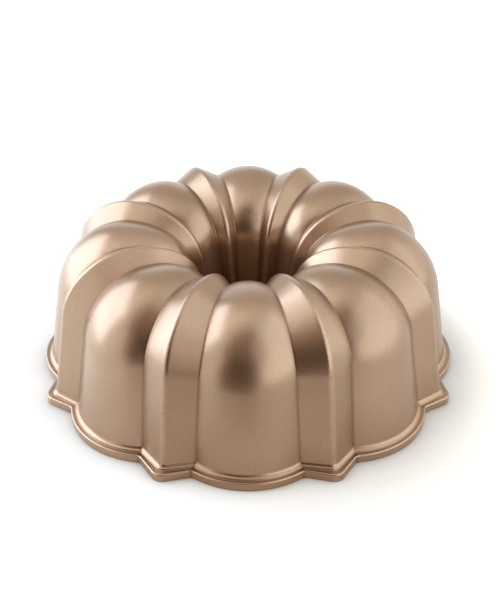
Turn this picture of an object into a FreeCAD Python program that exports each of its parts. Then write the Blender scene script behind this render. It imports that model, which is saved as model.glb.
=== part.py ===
# Fluted tube cake pan, cast in one piece and coated, standing on its rim with
# the crown up (the pose in which such a pan is stored and unmoulded).
#
# Frame: millimetres, +Z up, origin on the pan's axis in the plane of the rim
# face that rests on the table.  -Y is the front, where one round lobe points.
#
# Make-up of the object:
#   cast_body        aluminium casting: rim flange, fluted wall, crown, tube
#   exterior_coat    baked metallic coat on the whole outside
#   nonstick_lining  release coat on the whole cake side
#
# Geometry: sixteen flutes, eight round lobes alternating with eight V ribs.
# Three meridian curves drive everything: the valley crease between a lobe and
# a rib, the middle of a lobe, and the (virtual, sharp) apex of a rib.  A lobe's
# section is the circular arc through crease, middle, crease; a rib's section is
# two straight flanks with a rounded crest.  The layer surfaces are offsets of
# the outside, so every wall has one thickness.
import FreeCAD, Part
import math
import os

# ----------------------------------------------------------------- dimensions
N_LOBES = 8                     # round lobes, and as many V ribs between them
PITCH = 360.0 / N_LOBES         # degrees from lobe to lobe
WALL = 3.0                      # whole wall, coats included
COAT = 0.2                      # exterior coat
LINING = 0.2                    # cake-side coat

RIM_T = 5.2                     # height of the rim flange
STEP_Z = 6.0                    # height of the bead between flange and wall, at its edge
STEP_W = 1.65                   # width of that bead at a lobe's middle
STEP_SLOPE = 25.0               # degrees by which the bead's top rises towards the wall
STEP_RIB = 0.92                 # width of the bead on a rib's flank, as a part of STEP_W
RIM_R = 135.0                   # flange outline: middle of a lobe
RIM_NOTCH_R = 127.6             # flange outline: notch beside a rib
RIM_NOTCH_A = 14.8              # notch, degrees from the lobe's middle
RIM_APEX_R = 138.75             # flange outline: virtual apex of a rib
RIM_TIP_ROUND = 7.0             # rounding of the flange at a rib's tip
RIM_EDGE_ROUND = 0.85           # rounding of the flange's upper edge
STEP_FILLET = 0.35              # fillet at the foot of the bead's riser
STEP_ROUND = 0.6                # rounding of the bead's edge
FOOT_FILLET = 2.7               # cove between the wall and the bead

TUBE_END_Z = 5.0                # open end of the centre tube, above the table

# meridian curves: wall radius at WALL_REF_Z, wall draft in degrees, height at
# which the crown starts, crown radius and height, fullness of the outer and
# inner crown arcs (conic weights), height at which the tube starts, tube radius
# at TUBE_REF_Z and tube draft in degrees
WALL_REF_Z = 5.5
TUBE_REF_Z = 4.0
#          foot_r  draft  z_wall crown_r crown_z w_out w_in  z_tube tube_r draft
CREASE = (122.65,  8.8,   61.0,   76.5,   92.0,  0.66, 0.90, 65.0,  24.4,  11.5)
LOBE = (130.40,    9.0,   57.5,   81.0,   96.6,  0.66, 0.98, 65.5,  22.8,  11.2)
RIB = (131.95,     9.0,   64.0,   79.0,  99.28,  0.68, 0.80, 66.5,  17.2,  11.7)
CREASE_A = (14.38, -3.71, 1.78)  # crease azimuth from the lobe's middle: a+b*s+c*s^2
CREST_ROUND_WALL = 4.5          # rounding of a rib's crest on the wall
CREST_ROUND_CROWN = 3.0         # the same over the crown and in the tube
CREST_ROUND_MIN = 0.6           # smallest rounding, on the cake side
CREASE_FILLET = 0.9             # fillet along a crease on the wall and crown
NOTCH_FILLET = 4.5              # the same at the flange's outline

N_WALL, N_ARC, N_TUBE = 8, 15, 7     # stations along wall, each crown arc, tube
U_LOBE, U_CREST = 13, 7              # points across a lobe and a crest

V = FreeCAD.Vector


# ------------------------------------------------------------- meridian curves
def lerp(a, b, t):
    return a + (b - a) * t


def conic(p0, p1, p2, w, n):
    out = []
    for i in range(n):
        t = i / (n - 1.0)
        b0, b1, b2 = (1 - t) ** 2, 2 * w * t * (1 - t), t * t
        d = b0 + b1 + b2
        out.append(((b0 * p0[0] + b1 * p1[0] + b2 * p2[0]) / d,
                    (b0 * p0[1] + b1 * p1[1] + b2 * p2[1]) / d))
    return out


def meridian(q, low, tube_low):
    """(r, z) from z = low on the wall, over the crown, to z = tube_low."""
    foot_r, draft, z1, crown_r, crown_z, w_out, w_in, z2, tube_r, tdraft = q
    to = math.tan(math.radians(draft))
    ti = math.tan(math.radians(tdraft))
    wall = lambda z: (foot_r - (z - WALL_REF_Z) * to, z)
    tube = lambda z: (tube_r + (z - TUBE_REF_Z) * ti, z)
    pts = [wall(lerp(low, z1, i / (N_WALL - 1.0))) for i in range(N_WALL)]
    top = (crown_r, crown_z)
    pts += conic(pts[-1], wall(crown_z), top, w_out, N_ARC)[1:]
    pts += conic(top, tube(crown_z), tube(z2), w_in, N_ARC)[1:]
    pts += [tube(lerp(z2, tube_low, i / (N_TUBE - 1.0))) for i in range(1, N_TUBE)]
    return pts


def place(r, azimuth, z):
    """Azimuth 0 is the lobe that faces -Y; it grows towards +X."""
    a = math.radians(azimuth)
    return V(r * math.sin(a), -r * math.cos(a), z)


def crease_azimuth(i, n):
    s = i / (n - 1.0)
    return CREASE_A[0] + CREASE_A[1] * s + CREASE_A[2] * s * s


def mirror(p, azimuth):
    """Mirror in the meridian plane at that azimuth."""
    a = math.radians(azimuth)
    n = V(math.cos(a), math.sin(a), 0)
    return p - n * (2 * p.dot(n))


HALF = PITCH / 2.0


def main_keys(low, tube_low):
    """Keys (crease, lobe middle, rib apex, crest rounding, crease fillet) at every
    station of the wall, crown and tube."""
    c, l, v = (meridian(q, low, tube_low) for q in (CREASE, LOBE, RIB))
    n = len(c)
    keys = []
    for i in range(n):
        s = i / (n - 1.0)
        k = min(1.0, max(0.0, (s - 0.13) / 0.19))
        k = k * k * (3 - 2 * k)
        keys.append((place(c[i][0], crease_azimuth(i, n), c[i][1]),
                     place(l[i][0], 0.0, l[i][1]),
                     place(v[i][0], HALF, v[i][1]),
                     lerp(CREST_ROUND_WALL, CREST_ROUND_CROWN, k), CREASE_FILLET))
    return keys


def foot_path():
    """(x, z) groups of the rim's profile: up the flange's edge, in across its top,
    up the riser to the bead and up the cove to the wall.  x is the distance outwards
    from the wall at WALL_REF_Z, measured at a lobe's middle."""
    gap = RIM_R - LOBE[0]
    slope = math.tan(math.radians((CREASE[1] + LOBE[1] + RIB[1]) / 3.0))
    on_wall = lambda z: (-(z - WALL_REF_Z) * slope, z)
    rise = math.tan(math.radians(STEP_SLOPE))
    meet = (STEP_Z + (STEP_W - WALL_REF_Z * slope) * rise) / (1 - slope * rise)
    corners = [((gap, 0.0), 0.0), ((gap, RIM_T), RIM_EDGE_ROUND), ((STEP_W, RIM_T), STEP_FILLET),
               ((STEP_W, STEP_Z), STEP_ROUND), (on_wall(meet), FOOT_FILLET), (on_wall(meet + 12.0), 0.0)]
    groups, last = [], corners[0][0]
    for (p, q, n) in zip(corners[:-2], corners[1:-1], corners[2:]):
        (ax, az), (bx, bz), (cx, cz) = p[0], q[0], n[0]
        la, lc = math.hypot(ax - bx, az - bz), math.hypot(cx - bx, cz - bz)
        ua, uc = ((ax - bx) / la, (az - bz) / la), ((cx - bx) / lc, (cz - bz) / lc)
        half = math.acos(max(-1.0, min(1.0, ua[0] * uc[0] + ua[1] * uc[1]))) / 2
        back = q[1] / math.tan(half)
        start = (bx + ua[0] * back, bz + ua[1] * back)
        end = (bx + uc[0] * back, bz + uc[1] * back)
        bis = (ua[0] + uc[0], ua[1] + uc[1])
        k = q[1] / math.sin(half) / math.hypot(*bis)
        mid = (bx + bis[0] * k, bz + bis[1] * k)
        groups.append([(lerp(last[0], start[0], i / 3.0), lerp(last[1], start[1], i / 3.0)) for i in range(4)])
        t0 = math.atan2(start[1] - mid[1], start[0] - mid[0])
        t1 = math.atan2(end[1] - mid[1], end[0] - mid[0])
        turn = (t1 - t0 + math.pi) % (2 * math.pi) - math.pi
        arc = [(mid[0] + q[1] * math.cos(t0 + turn * i / 6.0), mid[1] + q[1] * math.sin(t0 + turn * i / 6.0)) for i in range(7)]
        groups.append(arc)
        last = arc[-1]
    return groups, last[1]


def foot_keys():
    """Key points of the rim's profile, ending where the wall's straight part begins."""
    rim = (place(RIM_NOTCH_R, RIM_NOTCH_A, 0), place(RIM_R, 0, 0), place(RIM_APEX_R, HALF, 0))
    wall = (place(CREASE[0], crease_azimuth(0, 2), 0), place(LOBE[0], 0, 0), place(RIB[0], HALF, 0))
    groups, z_wall = foot_path()
    # the bead keeps nearly one width all round, so a rib's apex moves out less
    # across it than across the flange
    gap = RIM_R - LOBE[0]
    turn = math.radians(HALF - crease_azimuth(0, 2))
    flank = math.atan2(CREASE[0] * math.sin(turn), RIB[0] - CREASE[0] * math.cos(turn))
    step = STEP_RIB * STEP_W / math.sin(flank) / (RIM_APEX_R - RIB[0])
    out = []
    for path in groups:
        keys = []
        for x, z in path:
            t = x / gap
            u = step * x / STEP_W if x < STEP_W else lerp(step, 1.0, (x - STEP_W) / (gap - STEP_W))
            pts = [w + (r - w) * v for w, r, v in zip(wall, rim, (t, t, u))]
            k = min(1.0, max(0.0, t))
            keys.append(tuple(V(p.x, p.y, z) for p in pts) +
                        (lerp(CREST_ROUND_WALL, RIM_TIP_ROUND, k), lerp(CREASE_FILLET, NOTCH_FILLET, k)))
        out.append(keys)
    for a, b in zip(out[1:], out[:-1]):
        a[0] = b[-1]
    return out, z_wall


# -------------------------------------------------------------------- sections
def lobe_arc(c, l):
    """The arc through the crease, the lobe's middle and the other crease."""
    m = V(0, c.y, c.z)
    up = l - m
    h = up.Length
    e = up * (1.0 / h)
    rho = (c.x * c.x + h * h) / (2 * h)
    end = math.atan2(c.x, rho - h)
    point = lambda th: m + e * (rho * math.cos(th) - (rho - h)) + V(rho * math.sin(th), 0, 0)
    back = lambda th: e * math.sin(th) - V(math.cos(th), 0, 0)      # towards the middle
    return point, back, rho, end


def rib_crest(c, a, rho, n=U_CREST):
    """The rounded crest of a rib whose flanks run from the creases to the apex a."""
    c2 = mirror(c, HALF)
    m = (c + c2) * 0.5
    axis = m - a
    g = math.atan2((c - m).Length, axis.Length)
    axis = axis * (1.0 / axis.Length)
    side = (c - m) * (1.0 / (c - m).Length)
    rho = min(rho, 0.6 * (c - a).Length * math.tan(g))
    centre = a + axis * (rho / math.sin(g))
    row = []
    for i in range(n):
        th = (math.pi / 2 - g) * (1 - 2.0 * i / (n - 1))
        row.append(centre - axis * (rho * math.cos(th)) + side * (rho * math.sin(th)))
    return row


def section(key):
    """Rows of points across one sector: lobe, crease fillet, flank, crest, flank, fillet."""
    c, l, a, rho, fillet = key
    point, back, r, end = lobe_arc(c, l)
    crest = rib_crest(c, a, rho)
    to_rib = crest[0] - c
    reach = to_rib.Length
    to_rib = to_rib * (1.0 / reach)
    corner = math.acos(max(-1.0, min(1.0, back(end).dot(to_rib))))
    cut = min(fillet / math.tan(corner / 2), 0.45 * reach, 0.3 * r * end)
    th = end - cut / r
    handle = 4.0 / 3.0 * math.tan((math.pi - corner) / 4) * cut * math.tan(corner / 2)
    p0, p3 = point(th), c + to_rib * cut
    p1, p2 = p0 - back(th) * handle, p3 - to_rib * handle
    turn = []
    for i in range(U_CREST):
        t = i / (U_CREST - 1.0)
        turn.append(p0 * (1 - t) ** 3 + p1 * (3 * t * (1 - t) ** 2) + p2 * (3 * t * t * (1 - t)) + p3 * t ** 3)
    lobe = [point(th * (2.0 * i / (U_LOBE - 1) - 1)) for i in range(U_LOBE)]
    lobe[-1] = turn[0]
    lobe[0] = V(-turn[0].x, turn[0].y, turn[0].z)
    flank = [p3 + (crest[0] - p3) * (i / 3.0) for i in range(4)]
    flip = lambda row: [mirror(p, HALF) for p in reversed(row)]
    return lobe, turn, flank, crest, flip(flank), flip(turn)


# --------------------------------------------------------------------- offsets
def cross_unit(a, b):
    n = a.cross(b)
    return n * (1.0 / n.Length)


def offset_keys(keys, depth):
    """The same key points on the surface that lies depth inside the outside."""
    n = len(keys)
    out = []
    for i in range(n):
        c, l, a, rho, fillet = keys[i]
        j0, j1 = max(0, i - 1), min(n - 1, i + 1)
        tc = keys[j1][0] - keys[j0][0]
        tl = keys[j1][1] - keys[j0][1]
        ta = keys[j1][2] - keys[j0][2]
        point, back, r, end = lobe_arc(c, l)
        # across the surface towards growing azimuth, times along it, points out of
        # the metal everywhere, from the flange to the end of the tube
        h = math.radians(HALF)
        n1 = cross_unit(back(end) * -1.0, tc)
        n2 = cross_unit(a - c, tc)
        nl = cross_unit(V(1, 0, 0), tl)
        m = cross_unit(V(math.cos(h), math.sin(h), 0), ta)
        nf = cross_unit(a - c, ta)
        c2 = c - (n1 + n2) * (depth / (1 + n1.dot(n2)))      # both faces move by depth
        l2 = l - nl * depth
        a2 = a - m * (depth / nf.dot(m))
        out.append((c2, l2, a2, max(CREST_ROUND_MIN, rho - depth), fillet + depth))
    return out


def cut_to(keys, z_first=None, z_last=None):
    """Ends the key columns exactly on horizontal planes; the ends are straight there."""
    keys = [list(k) for k in keys]

    def slide(i, j, z):
        for k in range(3):
            p, q = keys[i][k], keys[j][k]
            keys[i][k] = q + (p - q) * ((z - q.z) / (p.z - q.z))
            keys[i][k].z = z
    if z_first is not None:
        slide(0, 1, z_first)
    if z_last is not None:
        slide(len(keys) - 1, len(keys) - 2, z_last)
    return [tuple(k) for k in keys]


# ------------------------------------------------------- interpolating surfaces
def knots_for(t, deg=3):
    n = len(t)
    full = [t[0]] * (deg + 1)
    for j in range(1, n - deg):
        full.append(sum(t[j:j + deg]) / deg)
    full += [t[-1]] * (deg + 1)
    return full


def basis(full, deg, n, u):
    if u >= full[n]:
        span = n - 1
    else:
        span = deg
        while full[span + 1] <= u:
            span += 1
    left, right, b = [0.0] * (deg + 1), [0.0] * (deg + 1), [1.0] + [0.0] * deg
    for j in range(1, deg + 1):
        left[j], right[j] = u - full[span + 1 - j], full[span + j] - u
        saved = 0.0
        for r in range(j):
            temp = b[r] / (right[r + 1] + left[j - r])
            b[r] = saved + right[r + 1] * temp
            saved = left[j - r] * temp
        b[j] = saved
    row = [0.0] * n
    for j in range(deg + 1):
        row[span - deg + j] = b[j]
    return row


def inverse(m):
    n = len(m)
    a = [list(r) + [1.0 if i == j else 0.0 for j in range(n)] for i, r in enumerate(m)]
    for i in range(n):
        p = max(range(i, n), key=lambda k: abs(a[k][i]))
        a[i], a[p] = a[p], a[i]
        d = a[i][i]
        a[i] = [x / d for x in a[i]]
        for k in range(n):
            if k != i and a[k][i] != 0.0:
                f = a[k][i]
                a[k] = [x - f * y for x, y in zip(a[k], a[i])]
    return [r[n:] for r in a]


_inv = {}


def fitted(t):
    key = tuple(round(x, 9) for x in t)
    if key not in _inv:
        full = knots_for(t)
        _inv[key] = (full, inverse([basis(full, 3, len(t), u) for u in t]))
    return _inv[key]


def compact(full):
    ks, ms = [], []
    for k in full:
        if ks and abs(k - ks[-1]) < 1e-12:
            ms[-1] += 1
        else:
            ks.append(k)
            ms.append(1)
    return ks, ms


def patch(rows, tv):
    """B-spline face through rows of points; tv holds the rows' parameters."""
    nu, nv = len(rows[0]), len(rows)
    tu = [float(i) for i in range(nu)]
    fu, iu = fitted(tu)
    fv, iv = fitted(tv)
    mid = [[sum((rows[r][k] * iu[j][k] for k in range(nu)), V(0, 0, 0)) for j in range(nu)] for r in range(nv)]
    poles = [[sum((mid[k][j] * iv[i][k] for k in range(nv)), V(0, 0, 0)) for i in range(nv)] for j in range(nu)]
    for j in range(nu):          # ends exactly on the end rows
        poles[j][0], poles[j][-1] = mid[0][j], mid[-1][j]
    ku, mu = compact(fu)
    kv, mv = compact(fv)
    s = Part.BSplineSurface()
    s.buildFromPolesMultsKnots(poles, mu, mv, ku, kv, False, False, 3, 3)
    return s.toShape()


def station_parameters(keys):
    t = [0.0]
    for a, b in zip(keys[:-1], keys[1:]):
        t.append(t[-1] + ((b[0] - a[0]).Length + (b[1] - a[1]).Length + (b[2] - a[2]).Length) / 3.0)
    return t


def skin(groups):
    """Faces of one whole layer surface: every strip of one sector, eight times."""
    sector = []
    for keys in groups:
        tv = station_parameters(keys)
        strips = list(zip(*[section(k) for k in keys]))
        for i in (0, 1, 2, 3, 4, 5):
            sector.append(patch(list(strips[i]), tv))
    faces = []
    for k in range(N_LOBES):
        for f in sector:
            g = f.copy()
            g.rotate(V(0, 0, 0), V(0, 0, 1), PITCH * k)
            faces.append(g)
    return faces


def loop_at(faces, z):
    """The closed wire that ends the skin in the plane at height z: the outermost rim
    at the table, the tube's end anywhere else."""
    edges = []
    for f in faces:
        for e in f.Edges:
            b = e.BoundBox
            near = math.hypot(b.Center.x, b.Center.y) < CREASE[3]
            if abs(b.ZMin - z) < 1e-5 and abs(b.ZMax - z) < 1e-5 and near == (z > 0):
                edges.append(e)
    edges = Part.__sortEdges__(edges)
    return Part.Wire(edges)


def ring(wire_out, wire_in, z):
    """Flat face between two closed wires in the plane at height z."""
    plane = Part.Plane(V(0, 0, z), V(0, 0, 1))
    outer = Part.Face(plane, wire_out)
    hole = Part.Face(plane, wire_in)
    outer.validate()
    hole.validate()
    return outer.cut(hole).Faces[0]


def solid_from(faces):
    shape = Part.makeCompound(faces)
    shape.sewShape(1e-3)
    shells = shape.Shells
    solid = Part.Solid(shells[0])
    if solid.Volume < 0:
        solid.reverse()
    if len(shells) != 1 or not solid.isValid():
        raise RuntimeError("layer did not close: %d shells, valid %s" % (len(shells), solid.isValid()))
    return solid


def layer_surfaces():
    low = -3.0
    tube_low = TUBE_END_Z - 3.0
    foot, z_wall = foot_keys()
    # outside: the rim's profile, then the wall from the last fillet's end
    main = cut_to(main_keys(z_wall, tube_low), None, TUBE_END_Z)
    main[0] = foot[-1][-1][:3] + (CREST_ROUND_WALL, CREASE_FILLET)
    outside = foot + [main]
    # the casting's outer surface, one coat inside it
    whole = []
    marks = [0]
    for g in outside:
        whole += g if not whole else g[1:]
        marks.append(len(whole) - 1)
    deep = offset_keys([k for k in whole], COAT)
    deep = cut_to(deep, 0.0, TUBE_END_Z)
    casting = [deep[marks[i]:marks[i + 1] + 1] for i in range(len(outside))]
    # cake side: offsets of the wall run straight down to the table
    plain = main_keys(low, tube_low)
    under = [cut_to(offset_keys(plain, WALL - LINING), 0.0, TUBE_END_Z)]
    inside = [cut_to(offset_keys(plain, WALL), 0.0, TUBE_END_Z)]
    return outside, casting, under, inside


def main():
    os.makedirs("parts", exist_ok=True)
    skins = [skin(g) for g in layer_surfaces()]
    names = ["exterior_coat", "cast_body", "nonstick_lining"]
    for i, name in enumerate(names):
        a, b = skins[i], skins[i + 1]
        faces = list(a) + list(b)
        faces.append(ring(loop_at(a, 0.0), loop_at(b, 0.0), 0.0))
        faces.append(ring(loop_at(b, TUBE_END_Z), loop_at(a, TUBE_END_Z), TUBE_END_Z))
        solid = solid_from(faces)
        solid.exportStep("parts/%s.step" % name)
        bb = solid.BoundBox
        print(name, "volume cm3 %.1f" % (solid.Volume / 1000), "faces", len(solid.Faces),
              "box %.2f %.2f %.2f .. %.2f %.2f %.2f" % (bb.XMin, bb.YMin, bb.ZMin, bb.XMax, bb.YMax, bb.ZMax))


main()
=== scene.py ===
# Fluted tube cake pan: the looks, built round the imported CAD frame.
# Metres, +Z up, -Y is the front.  The three pieces are dense quad meshes made
# from the same meridian curves as the CAD: outside coat, casting, cake-side coat.
import math
import bpy
import numpy as np
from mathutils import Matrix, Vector


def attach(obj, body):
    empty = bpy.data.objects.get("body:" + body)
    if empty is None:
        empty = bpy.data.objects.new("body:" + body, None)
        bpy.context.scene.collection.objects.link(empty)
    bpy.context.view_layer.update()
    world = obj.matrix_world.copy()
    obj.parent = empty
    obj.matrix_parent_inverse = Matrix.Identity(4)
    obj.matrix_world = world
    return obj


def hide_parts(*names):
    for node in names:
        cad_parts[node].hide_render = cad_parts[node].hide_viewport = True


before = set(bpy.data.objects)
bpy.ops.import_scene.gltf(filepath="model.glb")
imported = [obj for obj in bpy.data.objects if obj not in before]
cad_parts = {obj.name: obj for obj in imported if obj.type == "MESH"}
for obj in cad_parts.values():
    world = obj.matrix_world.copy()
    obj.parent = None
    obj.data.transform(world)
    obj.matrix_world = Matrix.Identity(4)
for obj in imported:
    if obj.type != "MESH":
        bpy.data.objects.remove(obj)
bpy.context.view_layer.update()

# ------------------------------------------------------------------ dimensions
# millimetres, the same as the CAD's
N = 8
HALF = math.radians(22.5)
WALL, COAT, LINING = 3.0, 0.2, 0.2
RIM_T, STEP_Z, STEP_W, STEP_SLOPE = 5.2, 6.0, 1.65, 25.0
RIM_R, NOTCH_R, NOTCH_A, APEX_R = 135.0, 127.6, 14.8, 138.75
TIP_ROUND, EDGE_ROUND, STEP_FILLET, STEP_ROUND, FOOT_FILLET = 7.0, 0.85, 0.35, 0.6, 2.7
TUBE_END, WALL_REF, TUBE_REF = 5.0, 5.5, 4.0
CREASE = (122.65, 8.8, 61.0, 76.5, 92.0, 0.66, 0.90, 65.0, 24.4, 11.5)
LOBE = (130.40, 9.0, 57.5, 81.0, 96.6, 0.66, 0.98, 65.5, 22.8, 11.2)
RIB = (131.95, 9.0, 64.0, 79.0, 99.28, 0.68, 0.80, 66.5, 17.2, 11.7)
CREASE_A = (14.38, -3.71, 1.78)
CREST_WALL, CREST_CROWN, CREST_MIN = 4.5, 3.0, 0.6
CREASE_FILLET, NOTCH_FILLET = 0.9, 4.5

N_WALL, N_ARC, N_TUBE = 16, 34, 12            # stations
U_LOBE, U_TURN, U_FLANK, U_CREST = 30, 7, 6, 10   # segments across a sector


# ------------------------------------------------------------- meridian curves
def conic(p0, p1, p2, w, n):
    t = np.linspace(0, 1, n)[:, None]
    b0, b1, b2 = (1 - t) ** 2, 2 * w * t * (1 - t), t * t
    return (b0 * np.array(p0) + b1 * np.array(p1) + b2 * np.array(p2)) / (b0 + b1 + b2)


def meridian(q, low):
    foot, draft, z1, rc, h, wo, wi, z2, rt, td = q
    to, ti = math.tan(math.radians(draft)), math.tan(math.radians(td))
    wall = lambda z: (foot - (z - WALL_REF) * to, z)
    tube = lambda z: (rt + (z - TUBE_REF) * ti, z)
    a = np.array([wall(z) for z in np.linspace(low, z1, N_WALL)])
    b = conic(a[-1], wall(h), (rc, h), wo, N_ARC)[1:]
    c = conic((rc, h), tube(h), tube(z2), wi, N_ARC)[1:]
    d = np.array([tube(z) for z in np.linspace(z2, TUBE_END - 0.5, N_TUBE)])[1:]
    return np.vstack([a, b, c, d])


def place(r, a, z):
    return np.stack(np.broadcast_arrays(r * np.sin(a), -r * np.cos(a), z), -1).astype(float)


def main_keys(low):
    c, l, v = (meridian(q, low) for q in (CREASE, LOBE, RIB))
    n = len(c)
    # the crease's azimuth follows the same course as in the CAD, where the
    # stations are 8 on the wall, 15 on each crown arc and 7 in the tube
    marks = np.array([0, 7, 21, 35, 41]) / 41.0
    mine = np.array([0, N_WALL - 1, N_WALL + N_ARC - 2, N_WALL + 2 * N_ARC - 3, n - 1])
    s = np.interp(np.arange(n), mine, marks)
    ca = np.radians(CREASE_A[0] + CREASE_A[1] * s + CREASE_A[2] * s * s)
    k = np.clip((s - 0.13) / 0.19, 0, 1)
    k = k * k * (3 - 2 * k)
    return dict(c=place(c[:, 0], ca, c[:, 1]), l=place(l[:, 0], 0 * ca, l[:, 1]),
                a=place(v[:, 0], 0 * ca + HALF, v[:, 1]),
                rho=CREST_WALL + (CREST_CROWN - CREST_WALL) * k, fil=np.full(n, CREASE_FILLET),
                edge=np.zeros(n))


def foot_path():
    """(x, z, edge) of the rim's profile, x from the wall outwards."""
    gap = RIM_R - LOBE[0]
    slope = math.tan(math.radians((CREASE[1] + LOBE[1] + RIB[1]) / 3.0))
    wall = lambda z: (-(z - WALL_REF) * slope, z)
    rise = math.tan(math.radians(STEP_SLOPE))
    meet = (STEP_Z + (STEP_W - WALL_REF * slope) * rise) / (1 - slope * rise)
    corners = [((gap, 0.0), 0), ((gap, RIM_T), EDGE_ROUND), ((STEP_W, RIM_T), STEP_FILLET),
               ((STEP_W, STEP_Z), STEP_ROUND), (wall(meet), FOOT_FILLET), (wall(meet + 12), 0)]
    convex = (None, 1.0, 0.0, 0.7, 0.0)
    runs = (None, 5, 3, 2, 3)
    pts, last = [(gap, 0.0, 0.0)], np.array([gap, 0.0])
    for i in range(1, 5):
        p, q, n = (np.array(corners[j][0]) for j in (i - 1, i, i + 1))
        rad = corners[i][1]
        ua, uc = (p - q) / np.linalg.norm(p - q), (n - q) / np.linalg.norm(n - q)
        half = math.acos(ua @ uc) / 2
        start, end = q + ua * rad / math.tan(half), q + uc * rad / math.tan(half)
        mid = q + (ua + uc) / np.linalg.norm(ua + uc) * rad / math.sin(half)
        for t in np.linspace(0, 1, runs[i] + 1)[1:]:
            pts.append((*(last + (start - last) * t), 0.0))
        t0 = math.atan2(*(start - mid)[::-1])
        turn = (math.atan2(*(end - mid)[::-1]) - t0 + math.pi) % (2 * math.pi) - math.pi
        m = 8
        for j in range(1, m + 1):
            t = t0 + turn * j / m
            pts.append((mid[0] + rad * math.cos(t), mid[1] + rad * math.sin(t), convex[i] * math.sin(math.pi * j / m) ** 0.5 if j < m else 0.0))
        last = end
    return np.array(pts)


def foot_keys():
    path = foot_path()
    gap = RIM_R - LOBE[0]
    t = (path[:, 0] / gap)[:, None]
    ca0, ca1 = math.radians(CREASE_A[0]), math.radians(NOTCH_A)
    # the bead keeps one width all round, so its apex moves out less than the flange's
    flank = math.atan2(CREASE[0] * math.sin(HALF - ca0), RIB[0] - CREASE[0] * math.cos(HALF - ca0))
    step = 0.92 * STEP_W / math.sin(flank) / (APEX_R - RIB[0])
    rib_t = np.interp(path[:, 0], [-5 * STEP_W, 0, STEP_W, gap], [-5 * step, 0, step, 1])[:, None]
    out = {}
    for key, (r0, a0), (r1, a1) in (("c", (CREASE[0], ca0), (NOTCH_R, ca1)), ("l", (LOBE[0], 0), (RIM_R, 0)), ("a", (RIB[0], HALF), (APEX_R, HALF))):
        w, r = place(r0, a0, 0.0), place(r1, a1, 0.0)
        p = w + (r - w) * (rib_t if key == "a" else t)
        p[:, 2] = path[:, 1]
        out[key] = p
    k = np.clip(t[:, 0], 0, 1)
    out["rho"] = CREST_WALL + (TIP_ROUND - CREST_WALL) * k
    out["fil"] = CREASE_FILLET + (NOTCH_FILLET - CREASE_FILLET) * k
    out["edge"] = path[:, 2]
    return out


# ------------------------------------------------------------ keys and offsets
def unit(v):
    return v / np.linalg.norm(v, axis=-1, keepdims=True)


def dot(a, b):
    return (a * b).sum(-1, keepdims=True)


def flip(p):
    """Mirror in the rib's meridian plane."""
    n = np.array([math.cos(HALF), math.sin(HALF), 0])
    return p - 2 * dot(p, n) * n


def tangent(p):
    h = np.linalg.norm(np.diff(p, axis=0), axis=1)
    s = np.concatenate([[0], np.cumsum(h)])
    return np.gradient(p, s, axis=0)


def lobe_frame(c, l):
    m = c * np.array([0, 1, 1])
    h = np.linalg.norm(l - m, axis=-1, keepdims=True)
    e = (l - m) / h
    px = c[..., :1]
    rho = (px * px + h * h) / (2 * h)
    return m, e, rho, np.arctan2(px, rho - h)


X = np.array([1.0, 0, 0])


def offset(k, depth):
    c, l, a = k["c"], k["l"], k["a"]
    tc, tl, ta = tangent(c), tangent(l), tangent(a)
    m, e, rho, end = lobe_frame(c, l)
    ahead = X * np.cos(end) - e * np.sin(end)
    # across the surface towards growing azimuth, times along it, points out of the metal
    nl, nf = unit(np.cross(X, tl)), unit(np.cross(a - c, ta))
    nm = unit(np.cross(np.array([math.cos(HALF), math.sin(HALF), 0]), ta))
    n1, n2 = unit(np.cross(ahead, tc)), unit(np.cross(a - c, tc))
    return dict(c=c - (n1 + n2) * depth / (1 + dot(n1, n2)), l=l - nl * depth, a=a - nm * depth / dot(nf, nm),
                rho=np.maximum(CREST_MIN, k["rho"] - depth), fil=k["fil"] + depth, edge=k["edge"])


def cut(k, first=None, last=None):
    k = {n: v.copy() for n, v in k.items()}
    for n in ("c", "l", "a"):
        p = k[n]
        for i, j, z in ((0, 1, first), (-1, -2, last)):
            if z is not None:
                p[i] = p[j] + (p[i] - p[j]) * (z - p[j, 2]) / (p[i, 2] - p[j, 2])
                p[i, 2] = z
    return k


def join(*ks):
    return {n: np.concatenate([ks[0][n]] + [k[n][1:] for k in ks[1:]]) for n in ks[0]}


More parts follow.
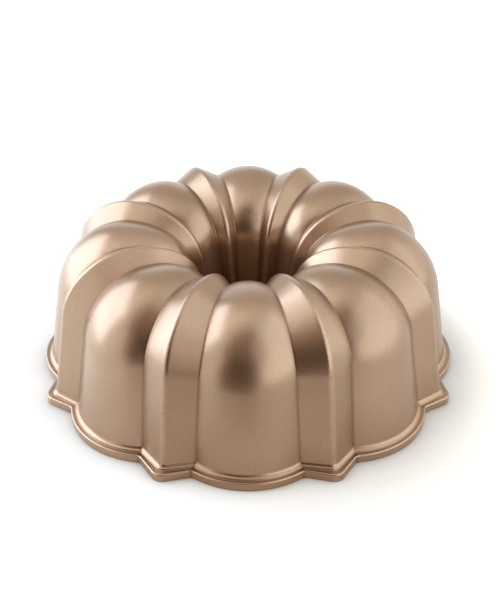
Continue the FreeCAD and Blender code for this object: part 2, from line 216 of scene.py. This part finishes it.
# -------------------------------------------------------------------- sections
def grid(k):
    """Points (station, round the pan, xyz) and the edge weight of each."""
    c, l, a = k["c"], k["l"], k["a"]
    c2 = flip(c)
    m = (c + c2) / 2
    axis = unit(m - a)
    g = np.arctan2(np.linalg.norm(c - m, axis=-1), np.linalg.norm(m - a, axis=-1))[:, None]
    side = unit(c - m)
    reach = np.linalg.norm(c - a, axis=-1, keepdims=True)
    rho = np.minimum(k["rho"][:, None], 0.6 * reach * np.tan(g))
    centre = a + axis * rho / np.sin(g)
    th = (math.pi / 2 - g) * np.linspace(1, -1, U_CREST + 1)[None, :]
    crest = centre[:, None] - axis[:, None] * (rho * np.cos(th))[..., None] + side[:, None] * (rho * np.sin(th))[..., None]

    mm, e, r, end = lobe_frame(c, l)
    back = lambda t: e[:, None] * np.sin(t)[..., None] - X * np.cos(t)[..., None]
    point = lambda t: mm[:, None] + e[:, None] * (r * np.cos(t) - (r - np.linalg.norm(l - mm, axis=-1, keepdims=True)))[..., None] + X * (r * np.sin(t))[..., None]
    to_rib = crest[:, 0] - c
    reach = np.linalg.norm(to_rib, axis=-1, keepdims=True)
    to_rib = to_rib / reach
    corner = np.arccos(np.clip(dot(back(end)[:, 0], to_rib), -1, 1))
    trim = np.minimum(np.minimum(k["fil"][:, None] / np.tan(corner / 2), 0.45 * reach), 0.3 * r * end)
    t1 = end - trim / r
    handle = 4 / 3 * np.tan((math.pi - corner) / 4) * trim * np.tan(corner / 2)
    p0, p3 = point(t1)[:, 0], c + to_rib * trim
    p1, p2 = p0 - back(t1)[:, 0] * handle, p3 - to_rib * handle
    t = np.linspace(0, 1, U_TURN + 1)[None, :, None]
    turn = p0[:, None] * (1 - t) ** 3 + p1[:, None] * 3 * t * (1 - t) ** 2 + p2[:, None] * 3 * t * t * (1 - t) + p3[:, None] * t ** 3
    # finer towards the creases, so the shading stays true next to a fillet
    w = np.linspace(-1, 1, U_LOBE + 1)
    w = np.sign(w) * (1 - (1 - np.abs(w)) ** 1.25)
    lobe = point(t1 * w[None, :])
    lobe[:, 0], lobe[:, -1] = p0 * np.array([-1, 1, 1]), p0
    f = np.array([0, 0.06, 0.3, 0.5, 0.7, 0.94, 1.0])[None, :, None]
    flank = p3[:, None] + (crest[:, :1] - p3[:, None]) * f
    mir = lambda row: flip(row)[:, ::-1]
    row = np.concatenate([lobe[:, :-1], turn[:, :-1], flank[:, :-1], crest[:, :-1], mir(flank)[:, :-1], mir(turn)[:, :-1]], 1)
    ridge = np.zeros(row.shape[1])
    i0 = U_LOBE + U_TURN + U_FLANK
    ridge[i0:i0 + U_CREST + 1] = np.sin(np.linspace(0, math.pi, U_CREST + 1)) ** 0.6
    all_p = []
    for s in range(N):
        b = 2 * HALF * s
        rot = np.array([[math.cos(b), -math.sin(b), 0], [math.sin(b), math.cos(b), 0], [0, 0, 1]])
        all_p.append(row @ rot.T)
    # edge weight: 0.66 along the crests and up to 1 on the rim's rounded corners, where the coat is lightened as
    # rubbed wear and as a painted highlight
    edge = np.maximum(np.tile(ridge, N)[None, :] * 0.66, k["edge"][:, None])
    # painted shade in the creases, together with the coat's deeper tone where it pools: 1 in the fillet, fading over
    # about 1.5 mm each side
    p, crease_shade_weight = np.concatenate(all_p, 1), np.zeros(edge.shape)
    around = [s * row.shape[1] + j for s in range(N) for j in (U_LOBE + U_TURN // 2, row.shape[1] - U_TURN // 2 - 1)]
    for i in range(len(p)):
        gap = np.min(np.linalg.norm(p[i][:, None] - p[i][around][None], axis=-1), 1)
        crease_shade_weight[i] = np.clip(1.0 - (gap - 0.3) / 1.3, 0, 1) ** 2
    return p * 0.001, edge, crease_shade_weight


# --------------------------------------------------------------------- pieces
def shell(name, outer, inner, node):
    """Closed mesh between two layer surfaces, outer facing away from the metal."""
    (po, eo, co), (pi, ei, ci) = outer, inner
    nu = po.shape[1]
    assert pi.shape[1] == nu
    vo, vi = len(po), len(pi)
    verts = np.concatenate([po.reshape(-1, 3), pi.reshape(-1, 3)])
    idx_o = np.arange(vo * nu).reshape(vo, nu)
    idx_i = vo * nu + np.arange(vi * nu).reshape(vi, nu)

    def quads(a, b):
        """a is the lower row and b the upper, seen from outside."""
        a2, b2 = np.roll(a, -1, -1), np.roll(b, -1, -1)
        return np.stack([a, a2, b2, b], -1).reshape(-1, 4)
    faces = [quads(idx_o[:-1], idx_o[1:]), quads(idx_i[1:], idx_i[:-1]),
             quads(idx_i[0], idx_o[0]), quads(idx_o[-1], idx_i[-1])]
    faces = np.concatenate(faces)
    me = bpy.data.meshes.new(name)
    me.vertices.add(len(verts))
    me.vertices.foreach_set("co", verts.astype(np.float32).ravel())
    me.loops.add(faces.size)
    me.loops.foreach_set("vertex_index", faces.ravel().astype(np.int32))
    me.polygons.add(len(faces))
    me.polygons.foreach_set("loop_start", np.arange(0, faces.size, 4, dtype=np.int32))
    me.polygons.foreach_set("use_smooth", np.ones(len(faces), dtype=bool))
    me.update(calc_edges=True)
    me.validate()
    # weights per vertex: the lighter edges (rubbed wear and painted highlight) and the painted crease shade
    for label, a, b in (("edge", eo, ei), ("crease_shade", co, ci)):
        at = me.attributes.new(label, "FLOAT", "POINT")
        at.data.foreach_set("value", np.concatenate([a.ravel(), b.ravel()]).astype(np.float32))
    me.set_sharp_from_angle(angle=math.radians(40))
    ob = bpy.data.objects.new(name, me)
    bpy.context.scene.collection.objects.link(ob)
    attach(ob, "root")
    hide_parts(node)
    return ob


foot = foot_keys()
z_wall = foot["c"][-1, 2]
main = cut(main_keys(z_wall), None, TUBE_END)
for n in ("c", "l", "a"):
    main[n][0] = foot[n][-1]
outside = join(foot, main)
casting = cut(offset(outside, COAT), 0.0, TUBE_END)
plain = main_keys(-3.0)
under = cut(offset(plain, WALL - LINING), 0.0, TUBE_END)
inside = cut(offset(plain, WALL), 0.0, TUBE_END)
layers = [grid(k) for k in (outside, casting, under, inside)]


def turned_in(outer, inner, lift, wear_and_highlight):
    """The rows carried on across the rim's face and the tube's end, lift above them."""
    (po, eo, co), (pi, ei, ci) = outer, inner
    po = po.copy()
    up = np.array([0, 0, lift])
    po[0], po[-1] = po[0] + up, po[-1] + up
    t = np.linspace(0, 1, 5)[:-1, None, None]
    first = pi[0] + up + (po[0] - pi[0] - up) * t
    last = (po[-1] + (pi[-1] + up - po[-1]) * (1 - t))[::-1]
    w, none = np.full((4, po.shape[1]), wear_and_highlight), np.zeros((4, po.shape[1]))
    return np.concatenate([first, po, last]), np.concatenate([w, eo, w]), np.concatenate([none, co, none])


def lifted(layer, lift):
    p = layer[0].copy()
    p[[0, -1], :, 2] += lift
    return (p,) + layer[1:]


# the outside coat wraps the rim's face and the tube's end as a 0.04 mm film
FILM = 0.00004
coat = shell("bronze_outside_coat", turned_in(layers[0], layers[2], 0.0, 0.35), turned_in(layers[1], layers[2], FILM, 0.0), "exterior_coat")
body = shell("cast_pan_body", lifted(layers[1], FILM), lifted(layers[2], FILM), "cast_body")
lining = shell("release_lining", layers[2], layers[3], "nonstick_lining")


# ------------------------------------------------------------------- materials
def nodes_of(name):
    mat = bpy.data.materials.new(name)
    mat.use_nodes = True
    nt = mat.node_tree
    bsdf = nt.nodes["Principled BSDF"]
    return mat, nt, bsdf


def node(nt, kind, **props):
    n = nt.nodes.new(kind)
    for k, v in props.items():
        if k in n.inputs:
            n.inputs[k].default_value = v
        else:
            setattr(n, k, v)
    return n


def coords(nt):
    tc = nt.nodes.new("ShaderNodeTexCoord")
    return tc.outputs["Object"]


def ramp(nt, source, stops):
    r = nt.nodes.new("ShaderNodeValToRGB")
    el = r.color_ramp.elements
    while len(el) > 1:
        el.remove(el[-1])
    el[0].position, el[0].color = stops[0]
    for p, c in stops[1:]:
        e = el.new(p)
        e.color = c
    nt.links.new(source, r.inputs["Fac"])
    return r.outputs["Color"]


def noise(nt, co, scale, detail=3.0, rough=0.5):
    n = nt.nodes.new("ShaderNodeTexNoise")
    n.inputs["Scale"].default_value = scale
    n.inputs["Detail"].default_value = detail
    n.inputs["Roughness"].default_value = rough
    nt.links.new(co, n.inputs["Vector"])
    return n.outputs["Fac"]


def mix(nt, fac, a, b, mode="MIX"):
    m = nt.nodes.new("ShaderNodeMix")
    m.data_type = "RGBA"
    m.blend_type = mode
    for sock, v in ((m.inputs[0], fac), (m.inputs[6], a), (m.inputs[7], b)):
        if hasattr(v, "is_linked") or hasattr(v, "links"):
            nt.links.new(v, sock)
        else:
            sock.default_value = v
    return m.outputs[2]


def math_node(nt, op, a, b, clamp=False):
    m = nt.nodes.new("ShaderNodeMath")
    m.operation = op
    m.use_clamp = clamp
    for sock, v in ((m.inputs[0], a), (m.inputs[1], b)):
        if hasattr(v, "links"):
            nt.links.new(v, sock)
        else:
            sock.default_value = v
    return m.outputs[0]


def metal_coat(name, deep, mid, light, rough, metallic, grain, wear_and_highlight):
    """Baked metallic coat on a fine-cast surface: slow tone drift, satin flake in two sizes,
    the casting's soft unevenness, a darker tone in the creases that is painted shade as well as
    the coat pooled there, and gritty lightening along ridges and rim edges that is rubbed wear and a painted
    highlight both."""
    mat, nt, bsdf = nodes_of(name)
    co = coords(nt)
    drift = noise(nt, co, 14.0, 2.0)
    base = ramp(nt, drift, [(0.30, (*deep, 1)), (0.52, (*mid, 1)), (0.74, (*light, 1))])
    flake = noise(nt, co, 2600.0, 2.0, 0.6)
    base = mix(nt, 0.22, base, ramp(nt, flake, [(0.35, (*[v * 0.72 for v in mid], 1)), (0.65, (*[min(1, v * 1.3) for v in mid], 1))]))
    mottle = noise(nt, co, 620.0, 3.0, 0.65)
    base = mix(nt, 0.16, base, ramp(nt, mottle, [(0.36, (*[v * 0.80 for v in mid], 1)), (0.64, (*[min(1, v * 1.22) for v in mid], 1))]))
    # the creases darkened towards deep brown: painted shade, together with the coat's deeper tone where it pools
    crease_shade = nt.nodes.new("ShaderNodeAttribute")
    crease_shade.attribute_name = "crease_shade"
    base = mix(nt, math_node(nt, "MULTIPLY", crease_shade.outputs["Fac"], 0.62), base, (deep[0] * 0.60, deep[1] * 0.48, deep[2] * 0.40, 1))
    edge = nt.nodes.new("ShaderNodeAttribute")
    edge.attribute_name = "edge"
    patchy = ramp(nt, noise(nt, co, 420.0, 4.0, 0.7), [(0.38, (0.15, 0.15, 0.15, 1)), (0.62, (1, 1, 1, 1))])
    # lighter in patches along crests and the rim's edges: rubbed wear and a painted highlight
    worn_and_highlit = math_node(nt, "MULTIPLY", edge.outputs["Fac"], math_node(nt, "MULTIPLY", patchy, wear_and_highlight), True)
    base = mix(nt, worn_and_highlit, base, (*[min(1, v * 1.35) for v in light], 1))
    nt.links.new(base, bsdf.inputs["Base Color"])
    bsdf.inputs["Metallic"].default_value = metallic
    r = math_node(nt, "ADD", rough - 0.03, math_node(nt, "MULTIPLY", noise(nt, co, 35.0, 4.0), 0.06))
    r = math_node(nt, "SUBTRACT", r, math_node(nt, "MULTIPLY", worn_and_highlit, 0.06))
    nt.links.new(r, bsdf.inputs["Roughness"])
    before = None
    for height, strength, distance in ((noise(nt, co, 55.0, 2.0), 0.30, 0.00025), (noise(nt, co, 160.0, 2.0), 0.25, 0.00012), (mottle, 0.30, 0.00004), (flake, 0.35, grain)):
        b = nt.nodes.new("ShaderNodeBump")
        b.inputs["Strength"].default_value = strength
        b.inputs["Distance"].default_value = distance
        nt.links.new(height, b.inputs["Height"])
        if before is not None:
            nt.links.new(before, b.inputs["Normal"])
        before = b.outputs["Normal"]
    nt.links.new(before, bsdf.inputs["Normal"])
    return mat


bronze = metal_coat("bronze_coat", (0.36, 0.235, 0.155), (0.42, 0.28, 0.19), (0.48, 0.33, 0.225), 0.295, 0.92, 0.00002, 0.5)
release = metal_coat("release_coat", (0.24, 0.165, 0.115), (0.28, 0.195, 0.14), (0.32, 0.225, 0.165), 0.42, 0.75, 0.00002, 0.35)

mat, nt, bsdf = nodes_of("cast_aluminium")
co = coords(nt)
base = ramp(nt, noise(nt, co, 60.0, 4.0), [(0.3, (0.58, 0.57, 0.55, 1)), (0.7, (0.74, 0.73, 0.71, 1))])
nt.links.new(base, bsdf.inputs["Base Color"])
bsdf.inputs["Metallic"].default_value = 1.0
nt.links.new(math_node(nt, "ADD", 0.28, math_node(nt, "MULTIPLY", noise(nt, co, 400.0, 3.0), 0.2)), bsdf.inputs["Roughness"])
aluminium = mat

for ob, m in ((coat, bronze), (body, aluminium), (lining, release)):
    ob.data.materials.clear()
    ob.data.materials.append(m)

# ----------------------------------------------------------- floor, light, view
me = bpy.data.meshes.new("floor")
me.from_pydata([(-3, -3, -0.0001), (3, -3, -0.0001), (3, 3, -0.0001), (-3, 3, -0.0001)], [], [(0, 1, 2, 3)])
floor = bpy.data.objects.new("floor", me)
bpy.context.scene.collection.objects.link(floor)
mat, nt, bsdf = nodes_of("pale_floor")
nt.nodes.remove(bsdf)
path = nt.nodes.new("ShaderNodeLightPath")
matt = nt.nodes.new("ShaderNodeBsdfDiffuse")
spot = nt.nodes.new("ShaderNodeSeparateXYZ")
nt.links.new(coords(nt), spot.inputs[0])
away = math_node(nt, "SQRT", math_node(nt, "ADD", math_node(nt, "MULTIPLY", spot.outputs[0], spot.outputs[0]), math_node(nt, "MULTIPLY", spot.outputs[1], spot.outputs[1])), 0.0)
# as the pan reflects it, painted light and shade: paler towards the key light, darker in front
across = math_node(nt, "ADD", math_node(nt, "MULTIPLY", math_node(nt, "DIVIDE", spot.outputs[0], away), 0.5), 0.5)
ahead = math_node(nt, "MAXIMUM", math_node(nt, "MULTIPLY", math_node(nt, "DIVIDE", spot.outputs[1], away), -1.0), 0.0)
sweep = mix(nt, across, (1.22, 1.24, 1.21, 1), (0.90, 0.875, 0.85, 1))
sweep = mix(nt, math_node(nt, "MULTIPLY", ahead, ahead), sweep, (0.72, 0.64, 0.58, 1))
def reach(azimuth, inner, outer):
    """1 at that azimuth, falling to 0 between the two angles from it."""
    d = nt.nodes.new("ShaderNodeVectorMath")
    d.operation = "DOT_PRODUCT"
    nt.links.new(coords(nt), d.inputs[0])
    d.inputs[1].default_value = (math.sin(math.radians(azimuth)), -math.cos(math.radians(azimuth)), 0)
    r = nt.nodes.new("ShaderNodeMapRange")
    r.interpolation_type = "SMOOTHSTEP"
    r.inputs["From Min"].default_value = math.cos(math.radians(outer))
    r.inputs["From Max"].default_value = math.cos(math.radians(inner))
    nt.links.new(math_node(nt, "DIVIDE", d.outputs["Value"], away), r.inputs["Value"])
    return r.outputs["Result"]


far = nt.nodes.new("ShaderNodeMapRange")
far.interpolation_type = "SMOOTHSTEP"
far.inputs["From Min"].default_value = 0.21
far.inputs["From Max"].default_value = 0.44
nt.links.new(away, far.inputs["Value"])
# painted shade: a dark patch on the floor in front, beyond 0.21 m from the pan's axis
gloom = math_node(nt, "MULTIPLY", math_node(nt, "MULTIPLY", far.outputs["Result"], reach(-14, 13, 30)), 0.87)
sweep = mix(nt, gloom, sweep, (0.12, 0.08, 0.05, 1))
beyond = nt.nodes.new("ShaderNodeMapRange")
beyond.interpolation_type = "SMOOTHSTEP"
beyond.inputs["From Min"].default_value = 0.18
beyond.inputs["From Max"].default_value = 0.27
nt.links.new(away, beyond.inputs["Value"])
# painted shade: a darker patch on the floor to the front left, beyond 0.18 m
side_shade = math_node(nt, "MULTIPLY", math_node(nt, "MULTIPLY", beyond.outputs["Result"], reach(-66, 10, 26)), 0.22)
sweep = mix(nt, side_shade, sweep, (0.30, 0.27, 0.22, 1))
beside = nt.nodes.new("ShaderNodeMapRange")
beside.interpolation_type = "SMOOTHSTEP"
beside.inputs["From Min"].default_value = 0.135
beside.inputs["From Max"].default_value = 0.170
nt.links.new(away, beside.inputs["Value"])
# as the camera sees it, painted light and shade: brighter far out on the right, darker next to the pan on the right
# as a painted shadow
seen = mix(nt, across, (0.96, 0.92, 0.86, 1), mix(nt, beside.outputs["Result"], (0.86, 0.85, 0.84, 1), (1.26, 1.21, 1.16, 1)))
seen = mix(nt, math_node(nt, "MULTIPLY", ahead, ahead), seen, (0.99, 0.95, 0.90, 1))
# painted contact shadow: darker where the pan is within 13 mm, from ambient occlusion
contact_shadow_ao = nt.nodes.new("ShaderNodeAmbientOcclusion")
contact_shadow_ao.inputs["Distance"].default_value = 0.013
contact_shadow_ao.samples = 12
seen = mix(nt, contact_shadow_ao.outputs["AO"], mix(nt, 1.0, seen, (0.40, 0.40, 0.41, 1), "MULTIPLY"), seen)
nt.links.new(mix(nt, path.outputs["Is Camera Ray"], sweep, seen), matt.inputs["Color"])
nt.links.new(matt.outputs["BSDF"], nt.nodes["Material Output"].inputs["Surface"])
me.materials.append(mat)


def heading(azimuth, elevation):
    """Unit vector; azimuth 0 is the front (-Y) and 90 the right (+X), in degrees."""
    a, e = math.radians(azimuth), math.radians(elevation)
    return np.array([math.sin(a) * math.cos(e), -math.cos(a) * math.cos(e), math.sin(e)])


def softbox(name, azimuth, elevation, distance, size, radiance, colour=(1, 1, 1)):
    li = bpy.data.lights.new(name, "AREA")
    li.shape = "RECTANGLE"
    li.size, li.size_y = size
    li.energy = radiance * math.pi * size[0] * size[1]
    li.color = colour
    ob = bpy.data.objects.new(name, li)
    d = heading(azimuth, elevation)
    ob.location = d * distance
    ob.rotation_euler = Vector(-d).to_track_quat("-Z", "Y").to_euler()
    bpy.context.scene.collection.objects.link(ob)
    return ob


softbox("key_left", -109, 25, 1.3, (1.33, 1.39), 2.31, (0.785, 1.05, 1.41))
softbox("wall_right", 66, 28, 1.4, (2.5, 2.2), 0.475, (0.78, 1.05, 1.22))

# a plain white dome, dimmed round the front where the studio is dark
world = bpy.data.worlds.new("studio")
bpy.context.scene.world = world
world.use_nodes = True
wn = world.node_tree
bg = wn.nodes["Background"]
tc = wn.nodes.new("ShaderNodeTexCoord")


def lobe(azimuth, elevation, inner, outer, amount):
    d = wn.nodes.new("ShaderNodeVectorMath")
    d.operation = "DOT_PRODUCT"
    wn.links.new(tc.outputs["Generated"], d.inputs[0])
    d.inputs[1].default_value = heading(azimuth, elevation)
    r = wn.nodes.new("ShaderNodeMapRange")
    r.interpolation_type = "SMOOTHSTEP"
    r.inputs["From Min"].default_value = math.cos(math.radians(outer))
    r.inputs["From Max"].default_value = math.cos(math.radians(inner))
    r.inputs["To Min"].default_value = 0.0
    r.inputs["To Max"].default_value = amount
    wn.links.new(d.outputs["Value"], r.inputs["Value"])
    return r.outputs["Result"]


low_dark = math_node(wn, "SUBTRACT", 1.0, lobe(-14.5, 8, 19, 39, 0.885))
high_dark = math_node(wn, "SUBTRACT", 1.0, lobe(-6, 43, 15, 43, 0.75))
back_dim = math_node(wn, "SUBTRACT", 1.0, lobe(184, 28, 15, 57, 0.45))
back_glow = lobe(184, 4, 7, 24, 0.62)
dark = math_node(wn, "MULTIPLY", low_dark, high_dark)
dark = math_node(wn, "MULTIPLY", dark, math_node(wn, "SUBTRACT", 1.0, lobe(-38, 38, 3, 14, 0.34)))
high_dim = math_node(wn, "SUBTRACT", 1.0, lobe(70, 66, 8, 42, 0.17))
high_dim = math_node(wn, "MULTIPLY", high_dim, math_node(wn, "SUBTRACT", 1.0, lobe(110, 76, 10, 32, 0.10)))
high_dim = math_node(wn, "MULTIPLY", high_dim, math_node(wn, "SUBTRACT", 1.0, lobe(-72, 25, 5, 20, 0.10)))
high_glow = math_node(wn, "ADD", 1.0, lobe(-150, 64, 10, 45, 0.16))
slow = math_node(wn, "MULTIPLY", math_node(wn, "MULTIPLY", back_dim, high_dim), high_glow)
level = math_node(wn, "ADD", math_node(wn, "MULTIPLY", math_node(wn, "MULTIPLY", dark, slow), 1.32), back_glow)
path = wn.nodes.new("ShaderNodeLightPath")
seen = math_node(wn, "MAXIMUM", level, path.outputs["Is Camera Ray"])
wn.links.new(seen, bg.inputs["Strength"])
tone = mix(wn, dark, mix(wn, lobe(-14, 66, 12, 40, 1.0), (1.0, 0.41, 0.20, 1), (1.0, 0.52, 0.22, 1)), mix(wn, back_dim, (1.0, 0.93, 0.80, 1), (1.0, 1.02, 1.0, 1)))
tone = mix(wn, lobe(22, 16, 8, 27, 0.48), tone, (1.0, 0.90, 0.82, 1))
tone = mix(wn, lobe(-35, 18, 4, 15, 0.22), tone, (1.0, 0.56, 0.32, 1))
tone = mix(wn, back_glow, tone, (0.92, 1.06, 1.38, 1))
wn.links.new(mix(wn, path.outputs["Is Camera Ray"], tone, (1, 1, 1, 1)), bg.inputs["Color"])

cam = bpy.data.cameras.new("camera")
cam.lens = 1114.5 * 36 / 611
cam.sensor_width = 36
cam_ob = bpy.data.objects.new("camera", cam)
el = math.radians(33.2)
cam_ob.location = (0.00116, -0.729 * math.cos(el), 0.0386 + 0.729 * math.sin(el))
cam_ob.rotation_euler = (math.pi / 2 - el, 0, 0)
cam.clip_start, cam.clip_end = 0.01, 20
bpy.context.scene.collection.objects.link(cam_ob)
bpy.context.scene.camera = cam_ob
vs = bpy.context.scene.view_settings
vs.view_transform = "Standard"
vs.look = "None"
vs.exposure = 0.0
